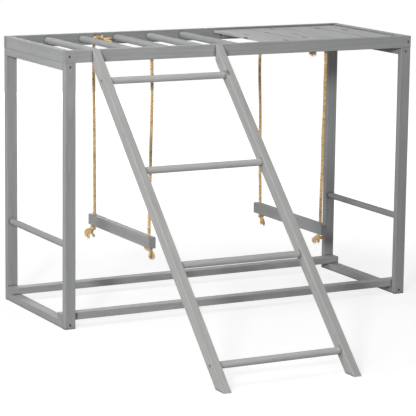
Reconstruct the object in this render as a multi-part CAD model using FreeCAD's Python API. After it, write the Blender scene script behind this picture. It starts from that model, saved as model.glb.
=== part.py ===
import FreeCAD, Part
import math
import os
from collections import namedtuple

# Wooden perch stand for hens. Two end frames carry a tray, which holds round perches and a platform.
# A ladder leans on the front of the tray, and two rope swings hang under it.
# Millimetres, +Z up, the front faces -Y. The origin is on the floor, under the middle of the whole stand.

# Overall sizes of the stand without its ladder
LENGTH = 1220.0
DEPTH = 470.0
HEIGHT = 850.0

# End frames and long bottom rails
POST_WIDTH = 35.0
POST_THICK = 20.0
END_RAIL_HEIGHT = 23.0
LONG_RAIL_WIDTH = 35.0
LONG_RAIL_HEIGHT = 22.0
END_PERCH_HEIGHT = 256.5

# Tray frame, set on edge on the end frames
TRAY_HEIGHT = 37.5
TRAY_THICK = 20.0

# Round perches and rungs, seated in blind holes
DOWEL_DIAMETER = 21.0
DOWEL_SEAT = 10.0
DOWEL_FIT = 0.1
PERCH_PITCH = 120.0
PERCH_DROP = 16.5

# Platform at the right end of the tray
PLATFORM_LENGTH = 462.0
PLATFORM_DROP = 6.0
BOARD_WIDTH = 115.0
BOARD_THICK = 9.0
BOARD_SEAM = 0.5
LAST_BOARD_TRIM = 20.0
PLATFORM_OVERHANG = 30.0
TIE_WIDTH = 25.0
TIE_THICK = 6.0
CLEAT_THICK = 15.0
CLEAT_HEIGHT = 17.0

# Ladder: each stringer stands a little outside a top perch, which is counted from 1 at the left
LADDER_ANGLE = 45.0
STRINGER_WIDTH = 35.0
STRINGER_THICK = 25.0
STRINGER_NOSE = 12.0
LEFT_STRINGER_PERCH = 1
LEFT_STRINGER_OFFSET = 37.5
RIGHT_STRINGER_PERCH = 4
RIGHT_STRINGER_OFFSET = 17.5
TOP_RUNG_DROP = 87.5
RUNG_PITCH = 234.8
LOWEST_RUNG = 40.0

# Swing bars and ropes. The left swing hangs beside the second perch, the right one under the platform.
ROPE_DIAMETER = 9.0
ROPE_LEAN = 11.0
ROPE_JOIN = 0.2
BAR_DROP = 568.0
BAR_THICK = 22.0
BAR_HEIGHT = 35.0
BAR_END = 25.5
BAR_HOLE_CLEARANCE = 0.5
LEFT_SWING_PERCH = 2
LEFT_SWING_OFFSET = 46.0
LEFT_WIRE_DEPTH = 22.0
RIGHT_SWING_INSET = 172.0
RIGHT_HITCH_HEADROOM = 4.2

# Knots and frayed rope ends: upper ones at the staples, lower ones under the bars
STOPPER_KNOT_RADIUS = 9.0
KNOT_FROM_RAIL = 0.5
LEFT_HITCH_REACH = 21.0
RIGHT_HITCH_REACH = 33.0
LEFT_HITCH_SLOPE = 0.0
RIGHT_HITCH_SLOPE = 25.0
LEFT_TAIL_LENGTH = 33.0
RIGHT_TAIL_LENGTH = 20.0
TAIL_FLARE = 6.0
TAIL_DROOP = 25.0
LOWER_KNOT_BRIM = 7.5
LOWER_KNOT_RADIUS = 11.5
LOWER_KNOT_HEIGHT = 18.0
TASSEL_LENGTH = 20.0
TASSEL_RADIUS = 10.0

# Wire staples that the ropes hang from
STAPLE_WIRE = 3.0
STAPLE_REACH = 12.5
STAPLE_DEPTH = 14.0
STAPLE_FIT = 0.05
LEFT_STAPLE_SPARE = 3.4
RIGHT_STAPLE_SPARE = 0.0
ROPE_ON_WIRE = 0.3
ROPE_FROM_RAIL = 1.5
CLEAT_GAP_TAIL_SIDE = 74.0
CLEAT_GAP_ROPE_SIDE = 30.0

# Fasteners
SCREW_HEAD = 7.5
SCREW_HEAD_HEIGHT = 3.0
SCREW_SHANK = 4.0
SCREW_TIP = 1.0
SCREW_POINT = 5.0
SCREW_SINK = 8.0
LADDER_SCREW_SINK = 4.0
RUNG_SCREW_SINK = 5.0
SOCKET_SIZE = 3.5
SOCKET_DEPTH = 2.0
NAIL_HEAD = 4.5
NAIL_HEAD_HEIGHT = 1.2
NAIL_SHANK = 2.2
FASTENER_FIT = 0.05
END_GRAIN_BITE = 30.0
FLAT_BITE = 14.0
CLEAT_BITE = 8.0
TIE_BITE = 5.0
POST_HEAD_SCREW_DROP = 12.5
POST_FOOT_SCREW_RISE = 12.5
TRAY_SCREW_INSET = 90.0
LONG_RAIL_SCREW_INSET = 8.75
CORNER_SCREW_SHIFTS = {"left": 5.0, "right": 1.5}
CLEAT_SCREW_INSET = 22.0
LADDER_SCREW_RISES = (8.0, 17.0)
LADDER_SCREW_SHIFT = 2.0
BOARD_NAIL_SPREAD = 40.0

# Rounding along the length of every sawn piece
EASED_EDGE = 1.5

# Lengths closer than this are the same length
SAME = 1e-6

# Directions
V = FreeCAD.Vector
UP = V(0, 0, 1)
DOWN = V(0, 0, -1)
BACK = V(0, 1, 0)
FORTH = V(0, -1, 0)
RIGHT = V(1, 0, 0)
LEFT = V(-1, 0, 0)

# Places worked out from the sizes above
SLOPE = math.radians(LADDER_ANGLE)
LADDER_REACH = HEIGHT / math.tan(SLOPE)
FRONT = (LADDER_REACH - DEPTH) / 2
REAR = FRONT + DEPTH
MIDDLE = (FRONT + REAR) / 2
END = LENGTH / 2
TRAY_BOTTOM = HEIGHT - TRAY_HEIGHT
TRAY_MIDDLE = HEIGHT - TRAY_HEIGHT / 2
PERCH_HEIGHT = HEIGHT - PERCH_DROP
TRAY_FRONT = FRONT + TRAY_THICK
TRAY_REAR = REAR - TRAY_THICK
TRAY_LEFT = -END + TRAY_THICK
TRAY_RIGHT = END - TRAY_THICK
POST_FRONT = FRONT + POST_THICK
POST_REAR = REAR - POST_THICK
PLATFORM_LEFT = TRAY_RIGHT - PLATFORM_LENGTH
PLATFORM_TOP = HEIGHT - PLATFORM_DROP
PLATFORM_BOTTOM = PLATFORM_TOP - BOARD_THICK
DOWEL_RADIUS = DOWEL_DIAMETER / 2
ROPE_RADIUS = ROPE_DIAMETER / 2
HANG_RADIUS = STAPLE_WIRE / 2 + ROPE_ON_WIRE + ROPE_RADIUS
STAPLE_GAP = STAPLE_WIRE + ROPE_DIAMETER + 2 * ROPE_ON_WIRE
ROPE_FROM_FACE = ROPE_FROM_RAIL + ROPE_RADIUS


def perch_axis(number):
    """X of a top perch, counted from 1 at the left."""
    return TRAY_LEFT + number * PERCH_PITCH


# A swing turns on the lower leg of its staples, at wire_x and wire_z. Its rope tails point along way,
# which is -1 or +1 on X, and the rope above the bar hangs on the other side of the wire.
Swing = namedtuple("Swing", "name way wire_x wire_z leg_gap slope reach tail")
LEFT_WIRE = (perch_axis(LEFT_SWING_PERCH) + LEFT_SWING_OFFSET, HEIGHT - LEFT_WIRE_DEPTH)
RIGHT_WIRE = (
    PLATFORM_LEFT + RIGHT_SWING_INSET,
    PLATFORM_BOTTOM - RIGHT_HITCH_HEADROOM - HANG_RADIUS - ROPE_RADIUS,
)
LEFT_GAP = STAPLE_GAP + LEFT_STAPLE_SPARE
RIGHT_GAP = STAPLE_GAP + RIGHT_STAPLE_SPARE
SWINGS = (
    Swing("left", 1, *LEFT_WIRE, LEFT_GAP, LEFT_HITCH_SLOPE, LEFT_HITCH_REACH, LEFT_TAIL_LENGTH),
    Swing("right", -1, *RIGHT_WIRE, RIGHT_GAP, RIGHT_HITCH_SLOPE, RIGHT_HITCH_REACH, RIGHT_TAIL_LENGTH),
)

# Each swing has a rope at the front and one at the rear: the face of the tray rail that it hangs from,
# the direction away from that face, and the rope's Y at the staple and at the bar.
Row = namedtuple("Row", "name face outward staple_y bar_y")
FRONT_ROPE = TRAY_FRONT + ROPE_FROM_FACE
REAR_ROPE = TRAY_REAR - ROPE_FROM_FACE
ROPE_ROWS = (
    Row("front", TRAY_FRONT, BACK, FRONT_ROPE, FRONT_ROPE + ROPE_LEAN),
    Row("rear", TRAY_REAR, FORTH, REAR_ROPE, REAR_ROPE - ROPE_LEAN),
)

# Name and side of each end frame
ENDS = (("left", -1), ("right", 1))


def sawn(low, high):
    """A sawn piece between two corners, with its four long edges eased."""
    size = high - low
    box = Part.makeBox(size.x, size.y, size.z, low)
    longest = max(size.x, size.y, size.z)
    edges = [edge for edge in box.Edges if abs(edge.Length - longest) < SAME]
    return box.makeFillet(EASED_EDGE, edges)


def dowel(start, direction, length):
    return Part.makeCylinder(DOWEL_RADIUS, length, start, direction)


def dowel_socket(mouth, direction):
    """The blind hole that a dowel end sits in, from its mouth along direction."""
    return Part.makeCylinder(DOWEL_RADIUS + DOWEL_FIT, DOWEL_SEAT, mouth, direction)


def hexagon(centre, direction):
    """The face of a hexagonal drive socket, square to direction."""
    turn = FreeCAD.Rotation(UP, direction)
    corner = V(SOCKET_SIZE / 2, 0, 0)
    ring = [FreeCAD.Rotation(UP, 60 * number).multVec(corner) for number in range(7)]
    return Part.Face(Part.makePolygon([centre + turn.multVec(point) for point in ring]))


def drive(parts, names, point, direction, length, sink):
    """A screw sunk at point and driven along direction, and its hole in each piece named."""
    seat = point + direction * sink
    head_top = seat - direction * SCREW_HEAD_HEIGHT
    shank_length = length - SCREW_POINT
    point_start = seat + direction * shank_length
    radius = SCREW_SHANK / 2
    counterbore = Part.makeCylinder(SCREW_HEAD / 2 + FASTENER_FIT, sink, point, direction)
    hole = Part.makeCylinder(radius + FASTENER_FIT, length, seat, direction)
    for name in names:
        parts[name] = parts[name].cut(counterbore.fuse(hole))
    head = Part.makeCylinder(SCREW_HEAD / 2, SCREW_HEAD_HEIGHT, head_top, direction)
    shank = Part.makeCylinder(radius, shank_length, seat, direction)
    tip = Part.makeCone(radius, SCREW_TIP / 2, SCREW_POINT, point_start, direction)
    socket = hexagon(head_top, direction).extrude(direction * SOCKET_DEPTH)
    return head.fuse([shank, tip]).removeSplitter().cut(socket)


def nail(parts, names, point, length):
    """A nail driven straight down, its head flush with the surface at point."""
    head = Part.makeCylinder(NAIL_HEAD / 2, NAIL_HEAD_HEIGHT, point, DOWN)
    shank = Part.makeCylinder(NAIL_SHANK / 2, length, point, DOWN)
    head_hole = Part.makeCylinder(NAIL_HEAD / 2 + FASTENER_FIT, NAIL_HEAD_HEIGHT, point, DOWN)
    hole = Part.makeCylinder(NAIL_SHANK / 2 + FASTENER_FIT, length, point, DOWN)
    for name in names:
        parts[name] = parts[name].cut(head_hole.fuse(hole))
    return head.fuse(shank).removeSplitter()


def end_frames(parts):
    """Two ends of two posts, a top rail, a bottom rail and a round perch each."""
    rail_top = TRAY_BOTTOM - END_RAIL_HEIGHT
    perch_length = POST_REAR - POST_FRONT + 2 * DOWEL_SEAT
    for end, side in ENDS:
        edges = (side * END, side * (END - POST_WIDTH))
        low, high = min(edges), max(edges)
        near = V((low + high) / 2, POST_FRONT, END_PERCH_HEIGHT)
        far = V((low + high) / 2, POST_REAR, END_PERCH_HEIGHT)
        front = sawn(V(low, FRONT, 0), V(high, POST_FRONT, TRAY_BOTTOM))
        rear = sawn(V(low, POST_REAR, 0), V(high, REAR, TRAY_BOTTOM))
        parts[end + "_front_post"] = front.cut(dowel_socket(near, FORTH))
        parts[end + "_rear_post"] = rear.cut(dowel_socket(far, BACK))
        parts[end + "_top_end_rail"] = sawn(V(low, POST_FRONT, rail_top), V(high, POST_REAR, TRAY_BOTTOM))
        parts[end + "_bottom_end_rail"] = sawn(V(low, POST_FRONT, 0), V(high, POST_REAR, END_RAIL_HEIGHT))
        parts[end + "_end_perch"] = dowel(near + FORTH * DOWEL_SEAT, BACK, perch_length)


def long_rails(parts):
    """The front and rear bottom rails, lying on the bottom end rails against the posts."""
    low, high = END_RAIL_HEIGHT, END_RAIL_HEIGHT + LONG_RAIL_HEIGHT
    front_edge = POST_FRONT + LONG_RAIL_WIDTH
    rear_edge = POST_REAR - LONG_RAIL_WIDTH
    parts["front_bottom_rail"] = sawn(V(-END, POST_FRONT, low), V(END, front_edge, high))
    parts["rear_bottom_rail"] = sawn(V(-END, rear_edge, low), V(END, POST_REAR, high))


def tray(parts):
    """The tray frame on top of the end frames."""
    low, high = TRAY_BOTTOM, HEIGHT
    parts["front_tray_rail"] = sawn(V(-END, FRONT, low), V(END, TRAY_FRONT, high))
    parts["rear_tray_rail"] = sawn(V(-END, TRAY_REAR, low), V(END, REAR, high))
    parts["left_tray_rail"] = sawn(V(-END, TRAY_FRONT, low), V(TRAY_LEFT, TRAY_REAR, high))
    parts["right_tray_rail"] = sawn(V(TRAY_RIGHT, TRAY_FRONT, low), V(END, TRAY_REAR, high))


def top_perches(parts):
    """Round perches from the left tray rail to the platform, at an even pitch."""
    count = round((PLATFORM_LEFT - TRAY_LEFT) / PERCH_PITCH) - 1
    length = TRAY_REAR - TRAY_FRONT + 2 * DOWEL_SEAT
    for number in range(1, count + 1):
        near = V(perch_axis(number), TRAY_FRONT, PERCH_HEIGHT)
        far = V(perch_axis(number), TRAY_REAR, PERCH_HEIGHT)
        parts["front_tray_rail"] = parts["front_tray_rail"].cut(dowel_socket(near, FORTH))
        parts["rear_tray_rail"] = parts["rear_tray_rail"].cut(dowel_socket(far, BACK))
        parts["top_perch_%d" % number] = dowel(near + FORTH * DOWEL_SEAT, BACK, length)


def cleat_spans():
    """X spans of the platform cleats, left and right of the rope of the right swing."""
    rope = RIGHT_WIRE[0]
    left = ("left", PLATFORM_LEFT + PLATFORM_OVERHANG, rope - CLEAT_GAP_TAIL_SIDE)
    right = ("right", rope + CLEAT_GAP_ROPE_SIDE, TRAY_RIGHT)
    return left, right


def platform(parts):
    """Boards side by side on cleats, the last one narrower, and a thin strip under their middle."""
    count = round(PLATFORM_LENGTH / BOARD_WIDTH)
    width = (PLATFORM_LENGTH + LAST_BOARD_TRIM - (count - 1) * BOARD_SEAM) / count
    tie = "platform_tie_strip"
    tie_low = V(PLATFORM_LEFT + PLATFORM_OVERHANG, MIDDLE - TIE_WIDTH / 2, PLATFORM_BOTTOM - TIE_THICK)
    parts[tie] = sawn(tie_low, V(TRAY_RIGHT, MIDDLE + TIE_WIDTH / 2, PLATFORM_BOTTOM))
    cleat_rows = (("front", TRAY_FRONT), ("rear", TRAY_REAR - CLEAT_THICK))
    for row, y in cleat_rows:
        for side, low, high in cleat_spans():
            bottom = V(low, y, PLATFORM_BOTTOM - CLEAT_HEIGHT)
            name = "%s_%s_platform_cleat" % (row, side)
            parts[name] = sawn(bottom, V(high, y + CLEAT_THICK, PLATFORM_BOTTOM))
    nails = []
    for number in range(1, count + 1):
        board = "platform_board_%d" % number
        left = PLATFORM_LEFT + (number - 1) * (width + BOARD_SEAM)
        right = min(left + width, TRAY_RIGHT)
        middle = (left + right) / 2
        parts[board] = sawn(V(left, TRAY_FRONT, PLATFORM_BOTTOM), V(right, TRAY_REAR, PLATFORM_TOP))
        for spread in (-BOARD_NAIL_SPREAD / 2, BOARD_NAIL_SPREAD / 2):
            point = V(middle + spread, MIDDLE, PLATFORM_TOP)
            nails.append(nail(parts, (board, tie), point, BOARD_THICK + TIE_BITE))
        for row, y in cleat_rows:
            for side, low, high in cleat_spans():
                if low + NAIL_HEAD < middle < high - NAIL_HEAD:
                    cleat = "%s_%s_platform_cleat" % (row, side)
                    point = V(middle, y + CLEAT_THICK / 2, PLATFORM_TOP)
                    nails.append(nail(parts, (board, cleat), point, BOARD_THICK + CLEAT_BITE))
    parts["platform_nails"] = Part.makeCompound(nails)


def cleat_screws(parts):
    """Screws from inside the tray, through the cleats into the tray rails."""
    screws = []
    length = CLEAT_THICK - RUNG_SCREW_SINK + CLEAT_BITE
    height = PLATFORM_BOTTOM - CLEAT_HEIGHT / 2
    rows = (("front", TRAY_FRONT + CLEAT_THICK, FORTH), ("rear", TRAY_REAR - CLEAT_THICK, BACK))
    for row, y, direction in rows:
        for side, low, high in cleat_spans():
            names = ("%s_%s_platform_cleat" % (row, side), row + "_tray_rail")
            for x in (low + CLEAT_SCREW_INSET, high - CLEAT_SCREW_INSET):
                screws.append(drive(parts, names, V(x, y, height), direction, length, RUNG_SCREW_SINK))
    parts["cleat_screws"] = Part.makeCompound(screws)


def frame_screws(parts):
    """Screws at the post heads, post feet and tray corners, sunk from the front and from the rear."""
    screws = []
    post_length = POST_THICK - SCREW_SINK + END_GRAIN_BITE
    tray_length = TRAY_THICK - SCREW_SINK + END_GRAIN_BITE
    levels = (("top", TRAY_BOTTOM - POST_HEAD_SCREW_DROP), ("bottom", POST_FOOT_SCREW_RISE))
    for end, side in ENDS:
        post_x = side * (END - POST_WIDTH / 2)
        corner_x = side * (END - TRAY_THICK / 2) + CORNER_SCREW_SHIFTS[end]
        for row, y, direction in (("front", FRONT, BACK), ("rear", REAR, FORTH)):
            for level, z in levels:
                names = ("%s_%s_post" % (end, row), "%s_%s_end_rail" % (end, level))
                screws.append(drive(parts, names, V(post_x, y, z), direction, post_length, SCREW_SINK))
            names = (row + "_tray_rail", end + "_tray_rail")
            corner = V(corner_x, y, TRAY_MIDDLE)
            screws.append(drive(parts, names, corner, direction, tray_length, SCREW_SINK))
    parts["frame_screws"] = Part.makeCompound(screws)


def rail_screws(parts):
    """Screws up through the end rails, into the tray's side rails and into the long bottom rails."""
    screws = []
    length = END_RAIL_HEIGHT - SCREW_SINK + FLAT_BITE
    under_tray = TRAY_BOTTOM - END_RAIL_HEIGHT
    for end, side in ENDS:
        tray_x = side * (END - TRAY_THICK / 2)
        long_x = side * (END - LONG_RAIL_SCREW_INSET)
        for y in (TRAY_FRONT + TRAY_SCREW_INSET, TRAY_REAR - TRAY_SCREW_INSET):
            names = (end + "_top_end_rail", end + "_tray_rail")
            screws.append(drive(parts, names, V(tray_x, y, under_tray), UP, length, SCREW_SINK))
        feet = (("front", POST_FRONT + LONG_RAIL_WIDTH / 2), ("rear", POST_REAR - LONG_RAIL_WIDTH / 2))
        for row, y in feet:
            names = (end + "_bottom_end_rail", row + "_bottom_rail")
            screws.append(drive(parts, names, V(long_x, y, 0), UP, length, SCREW_SINK))
    parts["rail_screws"] = Part.makeCompound(screws)


def stringer(middle):
    """One side of the ladder: cut level at the foot and plumb at the top, with a rounded nose under it."""
    across = RIGHT * STRINGER_THICK
    top = V(middle - STRINGER_THICK / 2, FRONT, HEIGHT)
    nose = top + DOWN * (STRINGER_WIDTH / math.cos(SLOPE))
    toe = top + FORTH * LADDER_REACH + DOWN * HEIGHT
    heel = toe + BACK * (STRINGER_WIDTH / math.sin(SLOPE))
    solid = Part.Face(Part.makePolygon([top, nose, heel, toe, top])).extrude(across)
    nose_edges = [edge for edge in solid.Edges if edge.CenterOfMass.isEqual(nose + across / 2, SAME)]
    solid = solid.makeFillet(STRINGER_NOSE, nose_edges)
    long_edges = [edge for edge in solid.Edges if edge.Length > HEIGHT]
    return solid.makeFillet(EASED_EDGE, long_edges)


def ladder(parts):
    """Two stringers, the rungs between them, and the screws at the top and at the end rungs."""
    left_middle = perch_axis(LEFT_STRINGER_PERCH) - LEFT_STRINGER_OFFSET
    right_middle = perch_axis(RIGHT_STRINGER_PERCH) + RIGHT_STRINGER_OFFSET
    left_inner = left_middle + STRINGER_THICK / 2
    right_inner = right_middle - STRINGER_THICK / 2
    parts["ladder_left_stringer"] = stringer(left_middle)
    parts["ladder_right_stringer"] = stringer(right_middle)
    count = int((HEIGHT - TOP_RUNG_DROP - LOWEST_RUNG) / RUNG_PITCH) + 1
    half_cut = STRINGER_WIDTH / math.cos(SLOPE) / 2
    rung_length = right_inner - left_inner + 2 * DOWEL_SEAT
    screw_length = STRINGER_THICK - RUNG_SCREW_SINK + END_GRAIN_BITE
    sides = (("left", left_inner, LEFT, RIGHT), ("right", right_inner, RIGHT, LEFT))
    rung_screws = []
    for number in range(1, count + 1):
        z = HEIGHT - TOP_RUNG_DROP - (number - 1) * RUNG_PITCH
        y = FRONT - (HEIGHT - half_cut - z) / math.tan(SLOPE)
        rung = "ladder_rung_%d" % number
        parts[rung] = dowel(V(left_inner - DOWEL_SEAT, y, z), RIGHT, rung_length)
        for side, inner, outward, inward in sides:
            name = "ladder_%s_stringer" % side
            mouth = V(inner, y, z)
            parts[name] = parts[name].cut(dowel_socket(mouth, outward))
            if number in (1, count):
                face = mouth + outward * STRINGER_THICK
                rung_screws.append(drive(parts, (name, rung), face, inward, screw_length, RUNG_SCREW_SINK))
    parts["rung_screws"] = Part.makeCompound(rung_screws)
    top_screws = []
    top_length = TRAY_THICK - LADDER_SCREW_SINK + FLAT_BITE
    for side, middle in (("left", left_middle), ("right", right_middle)):
        for rise in LADDER_SCREW_RISES:
            names = ("front_tray_rail", "ladder_%s_stringer" % side)
            point = V(middle + LADDER_SCREW_SHIFT, TRAY_FRONT, TRAY_BOTTOM + rise)
            top_screws.append(drive(parts, names, point, FORTH, top_length, LADDER_SCREW_SINK))
    parts["ladder_screws"] = Part.makeCompound(top_screws)


def pipe(edges, radius):
    """A round tube along the edges, from the start of the first one."""
    start = edges[0].valueAt(edges[0].FirstParameter)
    heading = edges[0].tangentAt(edges[0].FirstParameter)
    profile = Part.Wire(Part.makeCircle(radius, start, heading))
    return Part.Wire(edges).makePipeShell([profile], True, False)


def staple(parts, swing, row):
    """A wire bow driven into the tray rail, with one leg above the other."""
    rail = row.name + "_tray_rail"
    lower = V(swing.wire_x, row.face, swing.wire_z)
    upper = lower + UP * swing.leg_gap
    inside = row.outward * -STAPLE_DEPTH
    outside = row.outward * STAPLE_REACH
    bow = (lower + upper) / 2 + row.outward * (STAPLE_REACH + swing.leg_gap / 2)
    edges = [
        Part.LineSegment(lower + inside, lower + outside).toShape(),
        Part.Arc(lower + outside, bow, upper + outside).toShape(),
        Part.LineSegment(upper + outside, upper + inside).toShape(),
    ]
    for leg in (lower, upper):
        hole = Part.makeCylinder(STAPLE_WIRE / 2 + STAPLE_FIT, STAPLE_DEPTH, leg, inside)
        parts[rail] = parts[rail].cut(hole)
    return pipe(edges, STAPLE_WIRE / 2)


def hitch(swing, row):
    """The rope's upper end: round the staple's lower leg to a stopper knot and a frayed tail."""
    axis = V(swing.wire_x, row.staple_y, swing.wire_z)

    def round_wire(degrees):
        angle = math.radians(degrees)
        return axis + V(swing.way * math.sin(angle), 0, math.cos(angle)) * HANG_RADIUS

    def heading(degrees):
        angle = math.radians(degrees)
        return V(swing.way * math.cos(angle), 0, -math.sin(angle))

    leaving = round_wire(swing.slope)
    run_end = leaving + heading(swing.slope) * swing.reach
    arc = Part.Arc(round_wire(-90), round_wire((swing.slope - 90) / 2), leaving).toShape()
    run = Part.LineSegment(leaving, run_end).toShape()
    loop = pipe([arc, run], ROPE_RADIUS)
    section = math.pi * ROPE_RADIUS ** 2
    print("bend radius %.1f, tube volume %.1f" % (HANG_RADIUS, loop.Volume))
    print("tube section times length %.1f" % (section * (arc.Length + run.Length)))
    knot = run_end + row.outward * (STOPPER_KNOT_RADIUS + KNOT_FROM_RAIL - ROPE_FROM_FACE)
    ball = Part.makeSphere(STOPPER_KNOT_RADIUS, knot, row.outward)
    tail = Part.makeCone(ROPE_RADIUS, TAIL_FLARE, swing.tail, knot, heading(swing.slope + TAIL_DROOP))
    return loop.fuse([ball, tail]).removeSplitter()


def lower_knot(top):
    """The knot under a bar, with its frayed end as one flaring tassel below it."""
    origin = V(0, 0, 0)
    brim = RIGHT * LOWER_KNOT_BRIM
    belly = RIGHT * LOWER_KNOT_RADIUS + DOWN * (LOWER_KNOT_HEIGHT / 2)
    neck = RIGHT * ROPE_RADIUS + DOWN * LOWER_KNOT_HEIGHT
    foot = DOWN * (LOWER_KNOT_HEIGHT + TASSEL_LENGTH)
    hem = foot + RIGHT * TASSEL_RADIUS
    edges = [
        Part.LineSegment(origin, brim).toShape(),
        Part.Arc(brim, belly, neck).toShape(),
        Part.LineSegment(neck, hem).toShape(),
        Part.LineSegment(hem, foot).toShape(),
        Part.LineSegment(foot, origin).toShape(),
    ]
    knot = Part.Face(Part.Wire(edges)).revolve(origin, UP, 360)
    knot.translate(top)
    return knot


def swing_set(parts):
    """Each swing: a bar on two ropes, which hang from staples in the tray rails."""
    for swing in SWINGS:
        rope_x = swing.wire_x - swing.way * HANG_RADIUS
        bar_top = swing.wire_z - BAR_DROP
        bar_bottom = bar_top - BAR_HEIGHT
        front, rear = ROPE_ROWS
        bar_low = V(rope_x - BAR_THICK / 2, front.bar_y - BAR_END, bar_bottom)
        bar_high = V(rope_x + BAR_THICK / 2, rear.bar_y + BAR_END, bar_top)
        bar = sawn(bar_low, bar_high)
        staples = []
        for row in ROPE_ROWS:
            name = "%s_swing_%s" % (swing.name, row.name)
            top = V(rope_x, row.staple_y, swing.wire_z - ROPE_JOIN)
            bottom = V(rope_x, row.bar_y, bar_bottom + ROPE_JOIN)
            fall = bottom - top
            print("%s straight, %.1f long" % (name, fall.Length))
            hole_radius = ROPE_RADIUS + BAR_HOLE_CLEARANCE
            bar = bar.cut(Part.makeCylinder(hole_radius, fall.Length + ROPE_DIAMETER, top, fall))
            staples.append(staple(parts, swing, row))
            parts[name + "_hitch"] = hitch(swing, row)
            parts[name + "_rope"] = Part.makeCylinder(ROPE_RADIUS, fall.Length, top, fall)
            parts[name + "_knot"] = lower_knot(V(rope_x, row.bar_y, bar_bottom))
        parts[swing.name + "_swing_bar"] = bar
        parts[swing.name + "_rope_staples"] = Part.makeCompound(staples)


def build():
    parts = {}
    end_frames(parts)
    long_rails(parts)
    tray(parts)
    top_perches(parts)
    platform(parts)
    ladder(parts)
    swing_set(parts)
    frame_screws(parts)
    rail_screws(parts)
    cleat_screws(parts)
    return parts


os.makedirs("parts", exist_ok=True)
for node, shape in build().items():
    shape.exportStep("parts/%s.step" % node)
    print(node, len(shape.Solids), shape.isValid(), round(shape.Volume, 1))
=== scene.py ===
import math
import random

import bpy
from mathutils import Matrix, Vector


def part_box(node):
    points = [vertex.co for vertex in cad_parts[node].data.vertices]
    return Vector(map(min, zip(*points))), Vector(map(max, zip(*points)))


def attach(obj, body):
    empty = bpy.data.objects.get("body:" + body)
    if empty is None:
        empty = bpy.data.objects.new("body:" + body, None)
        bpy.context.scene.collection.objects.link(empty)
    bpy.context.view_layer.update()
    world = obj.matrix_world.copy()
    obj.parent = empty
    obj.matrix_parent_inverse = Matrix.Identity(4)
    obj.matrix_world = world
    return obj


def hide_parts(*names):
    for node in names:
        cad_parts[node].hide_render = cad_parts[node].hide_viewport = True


# Looks of a wooden perch stand for hens: grey stained wood, steel fasteners and laid rope.
# Lengths are in metres, apart from the routes, knots and tails of the ropes, which are in millimetres.

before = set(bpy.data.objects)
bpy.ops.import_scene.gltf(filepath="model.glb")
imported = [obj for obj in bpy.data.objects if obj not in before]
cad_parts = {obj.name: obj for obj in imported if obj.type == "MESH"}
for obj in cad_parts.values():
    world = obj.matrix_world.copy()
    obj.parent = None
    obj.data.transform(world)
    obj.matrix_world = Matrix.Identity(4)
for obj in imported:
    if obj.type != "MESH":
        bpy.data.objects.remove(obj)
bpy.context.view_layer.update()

MM = 0.001
FULL_TURN = 2 * math.pi

# Camera of the photograph
CAMERA_PLACE = Vector((-3.2044, -5.6043, 1.5442))
CAMERA_RIGHT = Vector((0.88394887, -0.46742551, 0.01215642))
CAMERA_DOWN = Vector((-0.07378581, -0.16511474, -0.98351044))
LENS = 185.57
SENSOR = 36.0
VIEW_END = 100.0

# Lamps: name, place, point they face, size and power in watts
LAMPS = (
    ("top_light", (-0.4, 0.45, 3.1), (0.0, 0.25, 0.4), 1.8, 20.0),
    ("high_left_light", (-3.6, -0.3, 4.2), (0.0, 0.2, 0.4), 1.6, 34.0),
    ("front_left_light", (-4.2, -4.4, 2.4), (0.0, 0.1, 0.4), 0.7, 205.0),
    ("left_light", (-5.6, 0.6, 2.2), (0.0, 0.2, 0.4), 1.6, 62.0),
    ("near_left_light", (-2.6, -1.5, 1.4), (-0.2, 0.0, 0.3), 0.9, 12.0),
    ("front_light", (1.2, -5.2, 0.4), (0.1, 0.0, 0.4), 2.0, 44.0),
    ("right_light", (5.4, 0.8, 0.9), (0.0, 0.3, 0.4), 1.6, 80.0),
    ("back_light", (1.4, 5.4, 0.8), (0.0, 0.3, 0.4), 2.4, 65.0),
)
AMBIENT = 0.01
WHITE = (1.0, 1.0, 1.0, 1.0)

# Floor: other surfaces meet it as a plain grey. What is seen of it is a glow that rises outwards
# to plain white, with a part that takes the shadow.
FLOOR_SIZE = 30.0
FLOOR_COLOUR = (0.22, 0.22, 0.22, 1.0)
FLOOR_SHADE = (0.34, 0.34, 0.34, 1.0)
GLOW_SPAN = (0.9, 2.3)
GLOW_ENDS = (0.78, 1.0)

# Ends of a smooth step, upwards and downwards
UNIT = (0.0, 1.0)
FALL = (1.0, 0.0)

# Turns that bring the grain of a piece onto X
GRAIN_X = (0.0, 0.0, 0.0)
GRAIN_Y = (0.0, 0.0, math.radians(-90))
GRAIN_Z = (0.0, math.radians(90), 0.0)
GRAIN_SLOPE = (math.radians(-45), 0.0, math.radians(-90))

# Stains of the wood, each with its dark and its light tone
# SHADED is the grey stain darkened as painted shade, for pieces that stand in shade
SHADED = ((0.300, 0.306, 0.305), (0.374, 0.380, 0.378))
GREY = ((0.345, 0.352, 0.350), (0.430, 0.437, 0.434))
LONG_LIGHT = ((0.366, 0.373, 0.371), (0.456, 0.463, 0.460))
PALE = ((0.390, 0.387, 0.379), (0.484, 0.479, 0.469))
RUNG_PALE = ((0.459, 0.455, 0.445), (0.570, 0.564, 0.552))
BOARD_LIGHT = ((0.466, 0.474, 0.471), (0.581, 0.590, 0.586))
RAW = ((0.30, 0.17, 0.085), (0.64, 0.43, 0.25))
# Dark tone of the joints: painted shade, with some dirt
SHADE_AND_SOOT = (0.045, 0.045, 0.046)
KNOT_BROWN = (0.085, 0.080, 0.075)

# Patterns in the wood: repeats per metre along and across the grain, detail and roughness
RING_FIELD = ((0.38, 10.5, 10.5), 1.5, 0.5)
FIBRE = ((9, 520, 520), 3.0, 0.6)
STREAK = ((1.3, 75, 75), 2.0, 0.5)
WASH = ((6, 24, 24), 3.0, 0.55)
PORE = ((42, 1150, 1150), 1.0, 0.5)
KNOT_REPEAT = (3.5, 6.5, 6.5)
PIECE_SHIFT = (13.7, 5.3, 9.1)

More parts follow.
